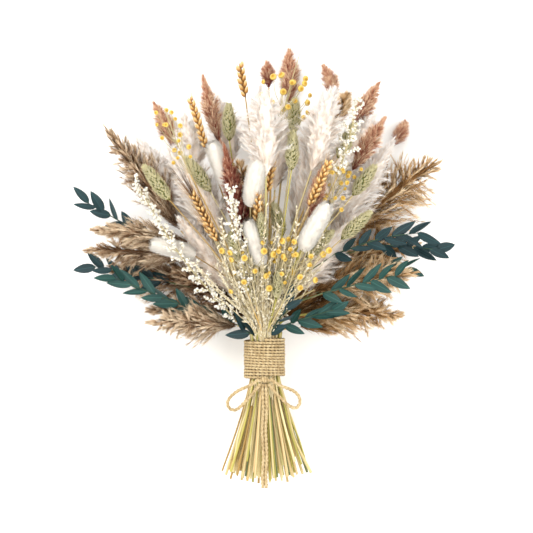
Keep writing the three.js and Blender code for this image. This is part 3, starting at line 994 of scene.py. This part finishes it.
def grow_canary_grass(heap, name, head):
    """An egg of keeled scales that overlap towards the tip."""
    rng, habit = seeded(name), settings().heads
    count = max(int(habit.glumes * head.length / (36 * MM)), 60)
    t = (np.arange(count) + 0.5) / count * 0.93
    turn = np.arange(count) * GOLDEN_TURN + rng.normal(0, 0.12, count)
    root, axis, out = around_head(head, t, turn, 0.72)
    lift = np.interp(t, [0, 0.4, 1], [0.65, 0.5, 0.25])[:, None]
    along = unit(axis + out * lift + scattered(rng, count) * 0.15)
    size = habit.glume * rng.uniform(0.85, 1.15, count) * np.interp(t, [0, 1], [1, 0.92])
    heap.strew(GLUME, root, along, out, size, size * 0.42, **cells(count, "canary_grass"))

    heap.sweep(pipe_shape(10, 10), head, lambda t: head.reach(t)[0] * 0.6, **PLAIN_CORE, finish=1)


def grow_wheat_ear(heap, name, head):
    """Grains in two rows that lean out from the ear's axis, each with its bristle."""
    rng, habit = seeded(name), settings().heads
    count = max(int(habit.grains * head.length / (50 * MM)) // 2 * 2, 24)
    t = (np.arange(count) // 3 * 3 + 1.0) / count * 0.88
    row = np.arange(count) // 3 % 2 * math.pi
    turn = row + (np.arange(count) % 3 - 1) * 0.95 + rng.normal(0, 0.12, count)
    root, axis, out = around_head(head, t, turn, 0.3)
    along = unit(axis + out * rng.uniform(0.32, 0.5, (count, 1)))
    size = habit.grain * rng.uniform(0.85, 1.12, count)
    place_in = cells(count, "wheat_ear")
    heap.strew(GRAIN, root, along, out, size, size * 0.46, **place_in)
    tip = root + along * (size * 0.82)[:, None]
    awns = habit.awn * rng.uniform(0.5, 1.3, count) * (2.6 if name in LONG_AWNS else 1)
    direction = unit(along * 0.7 + axis + scattered(rng, count) * 0.08)
    bend = out * (awns * 0.12)[:, None]
    heap.strew(BENT_HAIR, tip, direction, out, awns, 0.45 * MM, bend=bend, **place_in)
    if name in DARK_AWNED:
        heap.strew(
            BENT_HAIR, root, unit(axis + scattered(rng, count) * 0.12), out, awns * 1.5, 0.8 * MM,
            bend=out * (awns * 0.1)[:, None], **PLAIN_CORE, finish=1,
        )

    heap.sweep(pipe_shape(8, 10), head, lambda t: head.reach(t)[0] * 0.32, **PLAIN_CORE)


LONG_AWNS = ("wheat_ear_2", "golden_ear")
DARK_AWNED = ("golden_ear",)


# ---------------------------------------------------------------- sprays


TWIG_LOOK = {"uv_size": (0.01, 0.01), "finish": 1}


def twig_between(heap, start, stop, lift, thick):
    """A thin twig that leaves along lift and ends at stop."""
    points = [start, start * 0.55 + stop * 0.45 + lift, stop]
    heap.sweep(pipe_shape(5, 6), Course(points), lambda t: thick * (1 - 0.3 * t), **TWIG_LOOK)


def grow_leaf_sprig(heap, name, head):
    """Lance-shaped leaves, alternately on each side of a thin stem."""
    rng, habit = seeded(name), settings().sprays
    count = max(int(head.length / habit.leaf_gap), 3)
    last = 1 - 0.8 * habit.leaf / head.length
    t = last * np.arange(count) / (count - 1)
    axis = head.along(t)
    side, rise = across(axis)
    hand = np.where(np.arange(count) % 2, 1.0, -1.0)
    turn = np.radians(rng.uniform(12, 46, count)) * np.interp(t, [0, 0.8, 1], [1, 0.8, 0.25])
    lift = rng.uniform(-0.3, 0.42, count)[:, None]
    along = unit(axis * np.cos(turn)[:, None] + side * (hand * np.sin(turn))[:, None] + rise * lift * 0.7)
    facing = unit(rise + side * rng.normal(0, 0.75, (count, 1)) + axis * rng.normal(0, 0.3, (count, 1)))
    size = habit.leaf * rng.uniform(0.78, 1.12, count) * np.interp(t, [0, 0.5, 1], [0.9, 1, 0.86])
    bend = rise * (-size * rng.uniform(-0.08, 0.22, count))[:, None]
    width = habit.leaf_width * rng.uniform(0.8, 1.15, count)
    heap.strew(LEAF, head.at(t), along, facing, size, width, bend=bend, **cells(count, "leaf_sprig"))
    twig = Course(head.at(np.linspace(0, last + 0.02, 8)))
    heap.sweep(pipe_shape(6, 16), twig, lambda t: 0.9 * MM * (1 - 0.6 * t), **TWIG_LOOK)


def grow_button_spray(heap, name, head):
    """Button flowers on thin twigs that fork from the stem."""
    rng, habit = seeded(name), settings().sprays
    count = max(int(head.length / (4.2 * MM)), 7)
    width, used, plump = SPRAY_SPREADS.get(name, (15, 1, 0.85))
    t = np.sort(rng.uniform(0.25, 1, count)) * used
    axis = head.along(t)
    side, rise = across(axis)
    turn = np.arange(count) * GOLDEN_TURN
    reach = width * MM * rng.uniform(0.45, 1.0, count)
    out = side * (np.cos(turn) * reach)[:, None] + rise * (np.sin(turn) * reach * 0.45)[:, None]
    stop = head.at(t) + out
    fork = head.at(np.maximum(t - 0.34, 0.02))
    along = unit(axis * 0.45 + rise + out / (12 * MM) * 0.5 + scattered(rng, count) * 0.4)
    size = habit.button * plump * rng.uniform(0.75, 1.12, count)
    root = stop - along * (size * 0.2)[:, None]
    heap.strew(BUTTON, root, along, rise, size, size, **cells(count, "button_spray"))
    for i in range(count):
        lift = axis[i] * 2 * MM + out[i] * 0.25
        twig_between(heap, fork[i], stop[i], lift, habit.twig / 2)
    heap.sweep(pipe_shape(6, 16), head, lambda t: 0.7 * MM * (1 - 0.5 * t), **TWIG_LOOK)


# A spray's width in millimetres, how much of its head carries buttons, and their relative size
SPRAY_SPREADS = {
    "button_spray_1": (27, 0.78, 1.08),
    "button_spray_3": (13, 1, 0.85),
    "button_spray_left_low": (26, 1, 1.08),
    "button_spray_right_low": (26, 1, 1.08),
}


def grow_statice_spray(heap, name, head):
    """Short branchlets crowded with papery florets."""
    rng, habit = seeded(name), settings().sprays
    branchlets = max(int(head.length / (5.2 * MM)), 6)
    t = (np.arange(branchlets) + 0.3) / branchlets
    axis = head.along(t)
    side, rise = across(axis)
    turn = np.arange(branchlets) * GOLDEN_TURN
    reach = 11 * MM * rng.uniform(0.6, 1.15, branchlets) * np.interp(t, [0, 0.3, 1], [0.7, 1, 0.35])
    out = unit(side * np.cos(turn)[:, None] + rise * (0.5 * np.sin(turn))[:, None])
    stop = head.at(t) + axis * (10 * MM) + out * reach[:, None]
    start = head.at(t)
    each = 15
    which = np.repeat(np.arange(branchlets), each)
    s = np.tile((np.arange(each) + 0.5) / each, branchlets)[:, None]
    root = start[which] * (1 - s) + stop[which] * s + scattered(rng, len(which)) * 0.9 * MM
    along = unit(unit(stop - start)[which] * 0.8 + scattered(rng, len(which)))
    size = habit.floret * rng.uniform(0.7, 1.25, len(which))
    heap.strew(
        FLORET, root, along, scattered(rng, len(which)), size, size * 0.95,
        **cells(len(which), "statice_spray"),
    )
    for i in range(branchlets):
        twig_between(heap, start[i], stop[i], axis[i] * MM, 0.5 * MM)
    heap.sweep(pipe_shape(6, 18), head, lambda t: 0.9 * MM * (1 - 0.5 * t), **TWIG_LOOK)


SPRAYS = {
    "leaf_sprig": grow_leaf_sprig,
    "button_spray": grow_button_spray,
    "statice_spray": grow_statice_spray,
}
PLUMES = ("brown_plume", "tan_plume", "white_plume", "rust_plume")
SMALL_HEADS = {
    "bunny_tail": grow_bunny_tail,
    "canary_grass": grow_canary_grass,
    "wheat_ear": grow_wheat_ear,
}


PLANTS = sorted(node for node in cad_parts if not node.startswith(("bow", "twine")))


def plants_of(kind):
    """Every plant of a kind, the main ones and the extras, with its stem and head."""
    for node in PLANTS:
        if kind_of(node) == kind:
            yield node, (node,), *stem_and_head(node)
    for name, (extra_kind, values) in EXTRAS.items():
        if extra_kind == kind:
            yield name, (), *extra_plant(*values)


def grow_heads(kind, grow, slot, finishes):
    """A piece for each head of a kind; finishes go by kind, or by name for one that differs."""
    for name, nodes, _, head in plants_of(kind):
        heap = Heap()
        grow(heap, name, head)
        place(name + "_head", heap, finishes.get(name, finishes[kind]), slot, nodes)


# ---------------------------------------------------------------- stems


def grow_stem(heap, course, radius, index, rng):
    """A grass stem with a few joints, a little thicker at its cut end."""
    joints = rng.uniform(0.05, 0.9, 2)

    def thick(t):
        swell = sum(np.exp(-(((t - joint) / 0.012) ** 2)) for joint in joints)
        return radius * (1.06 - 0.5 * t + 0.16 * swell)

    heap.sweep(
        pipe_shape(7, 44), course, thick, lobed=(3, 0, 0.06),
        uv_at=(index / STEM_PLACES, 0), uv_size=(0.96 / STEM_PLACES, 1),
    )


def filler_stem(rng):
    """A headless stem's course, at a random place in the tie."""
    radius = 15.5 * MM * math.sqrt(rng.uniform(0, 1))
    turn = rng.uniform(0, math.tau)
    x, z = radius * math.cos(turn), radius * math.sin(turn)
    length = BELOW_TIE * rng.uniform(0.8, 0.99) * (1 - 0.1 * (radius / (16 * MM)) ** 2)
    points = []
    for share in (1, 0.66, 0.33, 0):
        spread = spread_at(length * share) * (1 + 0.05 * share * rng.normal())
        points.append(TIE + [x * spread, -TIE_END - length * share, z * spread])
    above = TIE_END * 1.3
    points += [TIE + [x, 0, z], TIE + [x * 1.15, above, z * 1.1 + 2 * MM]]
    return Course(points)


# Fine stalks with small flakes, fanned out above the tie: angle, spread, longest stalk, layer
FINE_GRASS = {
    "fine_grass_left": (-27, 13, 94, 7.3),
    "fine_grass_middle_left": (-10, 11, 106, 7.6),
    "fine_grass_middle_right": (9, 11, 106, 7.6),
    "fine_grass_right": (27, 13, 90, 7.3),
}
STALKS = 38


def grow_fine_grass(heap, name):
    """Thin stalks that fan out of the tie and carry small cream flakes."""
    rng = seeded(name)
    angle, spread, longest, layer = FINE_GRASS[name]
    for i in range(STALKS):
        fan = rng.normal(angle, spread * 0.6)
        reach = rng.uniform(0.3, 1) * longest
        spot = np.clip(fan / 5, -9, 9)
        lean = fan * 0.8 + rng.normal(0, 6)
        depth, nod = layer - rng.uniform(0, 2.6), rng.normal(0, 8)
        stem, head = extra_plant(spot, depth, fan, reach, lean, 30, 4, nod)
        stalk = Course(np.vstack([stem.at(np.linspace(0.42, 1, 7)), head.at(np.array([0.5, 1.0]))]))
        heap.sweep(
            pipe_shape(5, 18), stalk, lambda t: 0.62 * MM * (1 - 0.55 * t),
            uv_at=(i % STEM_PLACES / STEM_PLACES, 0), uv_size=(0.9 / STEM_PLACES, 1),
        )
        flakes = 32
        t = rng.uniform(0.35, 1, flakes)
        root, axis = stalk.at(t), stalk.along(t)
        along = unit(axis + scattered(rng, flakes) * 0.8)
        size = rng.uniform(2.4, 5.6, flakes) * MM
        heap.strew(
            FLAKE, root, along, scattered(rng, flakes), size, size * 0.5,
            uv_at=(0.3, 0.3), uv_size=(0.3, 0.3), finish=1,
        )


# ---------------------------------------------------------------- twine

KNOT_LOW, KNOT_HIGH = (np.array(corner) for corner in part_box("bow_knot"))
KNOT = (KNOT_LOW + KNOT_HIGH) / 2

# The bow's twine from the knot's middle, in metres: sideways, down the bunch and up
LOOP_LEFT = [
    (-0.0056, 0, 0.0006), (-0.01, 0.0032, 0.0004), (-0.016, 0.0068, -0.0006),
    (-0.024, 0.0102, -0.0026), (-0.0305, 0.0144, -0.005), (-0.0355, 0.0196, -0.0074),
    (-0.0372, 0.025, -0.009), (-0.0346, 0.03, -0.0096), (-0.0294, 0.031, -0.0086),
    (-0.0246, 0.028, -0.0066), (-0.0204, 0.0236, -0.0046), (-0.0158, 0.0186, -0.0028),
    (-0.0114, 0.0136, -0.0014), (-0.0074, 0.0088, -0.0004), (-0.0044, 0.0046, 0.0002),
]
LOOP_RIGHT = [
    (0.0056, -0.0002, 0.0006), (0.0104, 0.0028, 0.0004), (0.017, 0.0068, -0.0006),
    (0.0244, 0.0096, -0.0028), (0.0306, 0.013, -0.0052), (0.0348, 0.0182, -0.0076),
    (0.0354, 0.0244, -0.0092), (0.0318, 0.029, -0.0094), (0.0266, 0.028, -0.0076),
    (0.022, 0.0246, -0.0056), (0.018, 0.0206, -0.0038), (0.014, 0.0166, -0.0024),
    (0.0104, 0.0126, -0.0012), (0.007, 0.0086, -0.0004), (0.0044, 0.0046, 0.0002),
]
# Each tail: sideways, down from the binding, and its height above the stems
TAIL = [
    (0, 0.0046, 0.0024), (-0.0002, 0.009, 0.001), (0, 0.015, 0.0001), (0.0003, 0.022, 0),
    (0.0005, 0.029, 0), (0.0002, 0.036, 0), (-0.0003, 0.043, 0), (-0.0006, 0.05, 0),
    (-0.0004, 0.057, 0), (0.0001, 0.064, 0), (0.0005, 0.071, 0), (0.0006, 0.078, 0),
    (0.0002, 0.085, 0), (-0.0003, 0.092, 0), (-0.0002, 0.099, 0), (0.0003, 0.106, 0),
]
ABOVE_STEMS = 3.65 * MM  # from the top stems' middle to a tail's, as their solids lie
TAIL_GAP = 1.7 * MM  # from the middle of the bunch to each tail's middle


def lay_twine(heap, course, reference=UP, fuzz=1.0, name="twine"):
    """Three strands laid round each other along a course, with stray fibres."""
    habit = settings().stems
    rng = seeded(name)
    rings = max(int(course.length / (0.75 * MM)), 12)
    twist = math.tau / habit.strand_lay
    heap.sweep(
        pipe_shape(12, rings), course, lambda t: habit.twine / 2 * 0.92,
        lobed=(3, twist, 0.27), reference=reference, uv_size=(TWINE_SHARE, 1),
    )
    count = int(course.length / MM * 2.2 * fuzz)
    t = rng.uniform(0, 1, count)
    along = course.along(t)
    side, rise = across(along, reference)
    turn = rng.uniform(0, math.tau, count)[:, None]
    out = side * np.cos(turn) + rise * np.sin(turn)
    root = course.at(t) + out * habit.twine * 0.44
    direction = unit(along * rng.choice([-1.0, 1.0], (count, 1)) + out * rng.uniform(0.1, 0.6, (count, 1)))
    size = rng.uniform(0.9, 2.4, count) * MM
    heap.strew(
        BENT_HAIR, root, direction, out, size, 0.14 * MM, bend=-out * (size * 0.2)[:, None],
        uv_at=(0.92, 0.1), uv_size=(0.07, 0.8),
    )


def binding_course():
    """The binding's helix round the stems, a little uneven from turn to turn."""
    habit, rng = settings().stems, seeded("binding")
    outer = (TIE_HIGH[0] - TIE_LOW[0]) / 2
    middle = outer - habit.twine / 2
    steps = 18
    turns = habit.turns
    count = turns * steps + 1
    t = np.linspace(0, 1, count)
    angle = t * turns * math.tau + math.pi / 2
    radius = middle + np.repeat(rng.normal(0, 0.22, turns + 1), steps)[:count] * MM
    radius = np.convolve(np.pad(radius, 4, mode="edge"), np.ones(9) / 9, mode="valid")
    y = TIE[1] - TIE_END + habit.twine / 2 + t * (2 * TIE_END - habit.twine)
    y = y + 0.35 * MM * np.sin(angle * 0.93 + 1)
    return Course(np.stack([TIE[0] + radius * np.cos(angle), y, TIE[2] + radius * np.sin(angle)], axis=1))


def knot_courses():
    """The knot: a wrap round the bow's crossing, and the strand that crosses under it."""
    width, length, height = KNOT_HIGH - KNOT_LOW
    t = np.linspace(0, 1, 34)
    angle = t * 2.2 * math.tau - math.pi / 2
    wrap = np.stack([
        KNOT[0] + (t - 0.5) * width * 0.44,
        KNOT[1] + np.cos(angle) * length * 0.3,
        KNOT[2] + np.sin(angle) * height * 0.3,
    ], axis=1)
    s = np.linspace(-1, 1, 7)
    strand = np.stack([
        KNOT[0] + s * width * 0.56,
        KNOT[1] - np.abs(s) * 1.2 * MM,
        KNOT[2] + 0.4 * MM - 0.6 * MM * s**2,
    ], axis=1)
    return Course(wrap), Course(strand)


def from_knot(points):
    return [KNOT + [sideways, -down, up] for sideways, down, up in points]


def tail_points(side):
    lower_edge = TIE - [0, TIE_END, 0]
    top = TOP_LAYER / 2 * LAYER_PITCH
    return [
        lower_edge + [x + side * TAIL_GAP, -down, top * spread_at(down) + ABOVE_STEMS + up]
        for x, down, up in TAIL
    ]


# ---------------------------------------------------------------- operators


class BUNCH_OT_stage(bpy.types.Operator):
    """Lay the pale table, light it softly and look down on the bunch"""

    bl_idname = "bunch.stage"
    bl_label = "Set the stage"

    def execute(self, context):
        scene = context.scene
        scene.view_settings.view_transform = "Standard"
        world = bpy.data.worlds.new("soft_daylight")
        world.use_nodes = True
        sky = world.node_tree.nodes["Background"]
        sky.inputs["Color"].default_value = (1.0, 0.985, 0.96, 1)
        sky.inputs["Strength"].default_value = 1.75
        scene.world = world
        form = bmesh.new()
        bmesh.ops.create_grid(form, x_segments=1, y_segments=1, size=4)
        mesh = bpy.data.meshes.new("table")
        form.to_mesh(mesh)
        form.free()
        table = bpy.data.objects.new("table", mesh)
        mesh.materials.append(plain_finish("pale_table", "f7f6f4", 0.9, 30.0, 0.02, 0.02))
        scene.collection.objects.link(table)
        table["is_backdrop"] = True
        for name, place, size, power in (
            ("window", (-1.5, 1.3, 2.2), 1.6, 46),
            ("fill", (1.7, -0.8, 2.0), 2.0, 20),
        ):
            light = bpy.data.lights.new(name, "AREA")
            light.size, light.energy = size, power
            lamp = bpy.data.objects.new(name, light)
            lamp.location = place
            lamp.rotation_euler = Vector(place).to_track_quat("Z", "Y").to_euler()
            scene.collection.objects.link(lamp)
        camera = bpy.data.cameras.new("camera")
        camera.lens = 160
        eye = bpy.data.objects.new("camera", camera)
        eye.location = (TIE[0] + 0.002, TIE[1] + 0.0925, 2.44)
        scene.collection.objects.link(eye)
        scene.camera = eye
        return {"FINISHED"}


class BUNCH_OT_twine(bpy.types.Operator):
    """Wind the binding, tie its knot and lay the bow's loops and tails"""

    bl_idname = "bunch.twine"
    bl_label = "Tie with twine"

    def execute(self, context):
        # The wound jute carries painted shade in the creases between the binding's turns; the plain jute
        # has none.
        jute, wound_jute = jute_finish("jute", 0.0), jute_finish("wound_jute", 0.9)
        cords = {
            "bow_loop_left": (from_knot(LOOP_LEFT), "object"),
            "bow_loop_right": (from_knot(LOOP_RIGHT), "object"),
            "bow_tail_left": (tail_points(-1), "bare"),
            "bow_tail_right": (tail_points(1), "bare"),
        }
        for node, (points, far_end) in cords.items():
            course, heap = Course(points), Heap()
            lay_twine(heap, course, name=node, fuzz=0.7)
            cord = place(node + "_twine", heap, [jute], "jute_twine", (node,))
            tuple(points[0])
            course.at(np.linspace(0, 1, 80))
        heap = Heap()
        lay_twine(heap, binding_course(), reference=ALONG_BUNCH, name="binding")
        place("binding_twine", heap, [wound_jute], "jute_twine", ("twine_binding",))
        heap = Heap()
        for course in knot_courses():
            lay_twine(heap, course, reference=np.array([1.0, 0.0, 0.0]) if course.length > 0.03 else UP)
        place("knot_twine", heap, [jute], "jute_twine", ("bow_knot",))
        return {"FINISHED"}


class BUNCH_OT_stems(bpy.types.Operator):
    """Grow every plant's stem, from its cut end through the tie to its head"""

    bl_idname = "bunch.stems"
    bl_label = "Grow stems"

    def execute(self, context):
        straw, green = stem_finish(), plain_finish("green_stem", "66704a", 0.7)
        habit = context.scene.bunch.stems
        for kind in (*PLUMES, *SMALL_HEADS, *SPRAYS):
            heap, rng, nodes = Heap(), seeded(kind), ()
            thick = habit.stem if kind in PLUMES else habit.fine_stem
            plants = list(plants_of(kind))
            for index, (_, own, stem, _) in enumerate(plants):
                place_in = index * STEM_PLACES // len(plants)
                grow_stem(heap, stem, thick / 2 * rng.uniform(0.85, 1.15), place_in, rng)
                nodes += own
            place(kind + "_stems", heap, [green if kind == "leaf_sprig" else straw], "stem", nodes)
        for batch in range(4):
            heap, rng = Heap(), seeded(f"filler_{batch}")
            for index in range(STEM_PLACES):
                grow_stem(heap, filler_stem(rng), habit.stem / 2 * rng.uniform(0.6, 1), index, rng)
            place(f"filler_stems_{batch + 1}", heap, [straw], "stem")
        return {"FINISHED"}


class BUNCH_OT_plumes(bpy.types.Operator):
    """Grow the brown, tan, white and rust plumes"""

    bl_idname = "bunch.plumes"
    bl_label = "Grow plumes"

    def execute(self, context):
        for kind in PLUMES:
            habit = getattr(context.scene.bunch, kind)
            finishes = {kind: [plume_finish(kind, habit)]}
            grow_heads(kind, partial(grow_plume, habit=habit), kind, finishes)
        return {"FINISHED"}


class BUNCH_OT_small_heads(bpy.types.Operator):
    """Grow the bunny tails, canary grass and wheat"""

    bl_idname = "bunch.small_heads"
    bl_label = "Grow small heads"

    def execute(self, context):
        velvet = Finish("bunny_tail")
        v = velvet.parts(velvet.surface_place())[1]
        stops = [(0.0, "dccfb8"), (0.4, "f3ece0"), (0.8, "fcf8f0")]
        velvet.done(velvet.ramp(v, stops), 0.9, specular=0.05)
        finishes = {
            "bunny_tail": [velvet.material],
            "canary_grass": [glume_finish(), plain_finish("canary_core", "7f8a4a", 0.8)],
            "wheat_ear": [grain_finish(), plain_finish("dark_awn", "5e4028", 0.7)],
        }
        for kind, grow in SMALL_HEADS.items():
            grow_heads(kind, grow, kind, finishes)
        return {"FINISHED"}


class BUNCH_OT_sprays(bpy.types.Operator):
    """Grow the leaf sprigs, button flowers and statice"""

    bl_idname = "bunch.sprays"
    bl_label = "Grow sprays"

    def execute(self, context):
        twig = plain_finish("twig", "b9ad84", 0.75)
        leaf_twig = plain_finish("leaf_twig", "39513f", 0.7)
        dark = [leaf_finish("teal_leaf", "0d2024", "1a3a3e", "315c60"), leaf_twig]
        light = [leaf_finish("pale_teal_leaf", "122f2e", "224c45", "457a6f"), leaf_twig]
        finishes = dict.fromkeys(PALE_SPRIGS, light) | {
            "leaf_sprig": dark,
            "button_spray": [button_finish(), twig],
            "statice_spray": [statice_finish(), twig],
        }
        slots = {"leaf_sprig": "teal_leaf", "button_spray": "button_flower", "statice_spray": "statice"}
        for kind, grow in SPRAYS.items():
            grow_heads(kind, grow, slots[kind], finishes)
        return {"FINISHED"}


PALE_SPRIGS = ("leaf_sprig_3", "leaf_sprig_low_right", "leaf_sprig_mid_right", "leaf_sprig_2")


class BUNCH_OT_fine_grass(bpy.types.Operator):
    """Grow the fine flaked grass between the flowers"""

    bl_idname = "bunch.fine_grass"
    bl_label = "Grow fine grass"

    def execute(self, context):
        stalk = plain_finish("grass_stalk", "e3d6ae", 0.8, amount=0.7)
        finishes = [stalk, plain_finish("flake", "f6eed6", 0.8)]
        for name in FINE_GRASS:
            heap = Heap()
            grow_fine_grass(heap, name)
            place(name, heap, finishes, "stem")
        return {"FINISHED"}


class BUNCH_PT_panel(bpy.types.Panel):
    """The bunch's operators and settings"""

    bl_idname = "BUNCH_PT_panel"
    bl_label = "Dried Flower Bunch"
    bl_space_type = "VIEW_3D"
    bl_region_type = "UI"
    bl_category = "Bunch"

    def draw(self, context):
        for operator in OPERATORS:
            self.layout.operator(operator.bl_idname)
        for part in BunchSettings.__annotations__:
            box = self.layout.box()
            box.label(text=part.replace("_", " ").capitalize())
            habit = getattr(context.scene.bunch, part)
            for name in type(habit).__annotations__:
                box.prop(habit, name)


OPERATORS = (
    BUNCH_OT_stage,
    BUNCH_OT_twine,
    BUNCH_OT_stems,
    BUNCH_OT_fine_grass,
    BUNCH_OT_plumes,
    BUNCH_OT_small_heads,
    BUNCH_OT_sprays,
)


def register():
    for made in (*HABITS, *OPERATORS, BUNCH_PT_panel):
        bpy.utils.register_class(made)
    bpy.types.Scene.bunch = bpy.props.PointerProperty(type=BunchSettings)


def unregister():
    del bpy.types.Scene.bunch
    for made in (BUNCH_PT_panel, *reversed(OPERATORS), *reversed(HABITS)):
        bpy.utils.unregister_class(made)


def main():
    register()
    bpy.ops.bunch.stage()
    bpy.ops.bunch.twine()
    bpy.ops.bunch.stems()
    bpy.ops.bunch.fine_grass()
    bpy.ops.bunch.plumes()
    bpy.ops.bunch.small_heads()
    bpy.ops.bunch.sprays()
    sizes = {"cad": CAD_BOX, "visual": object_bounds()}
    {key: [list(corner) for corner in box] for key, box in sizes.items()}


if __name__ == "__main__":
    main()
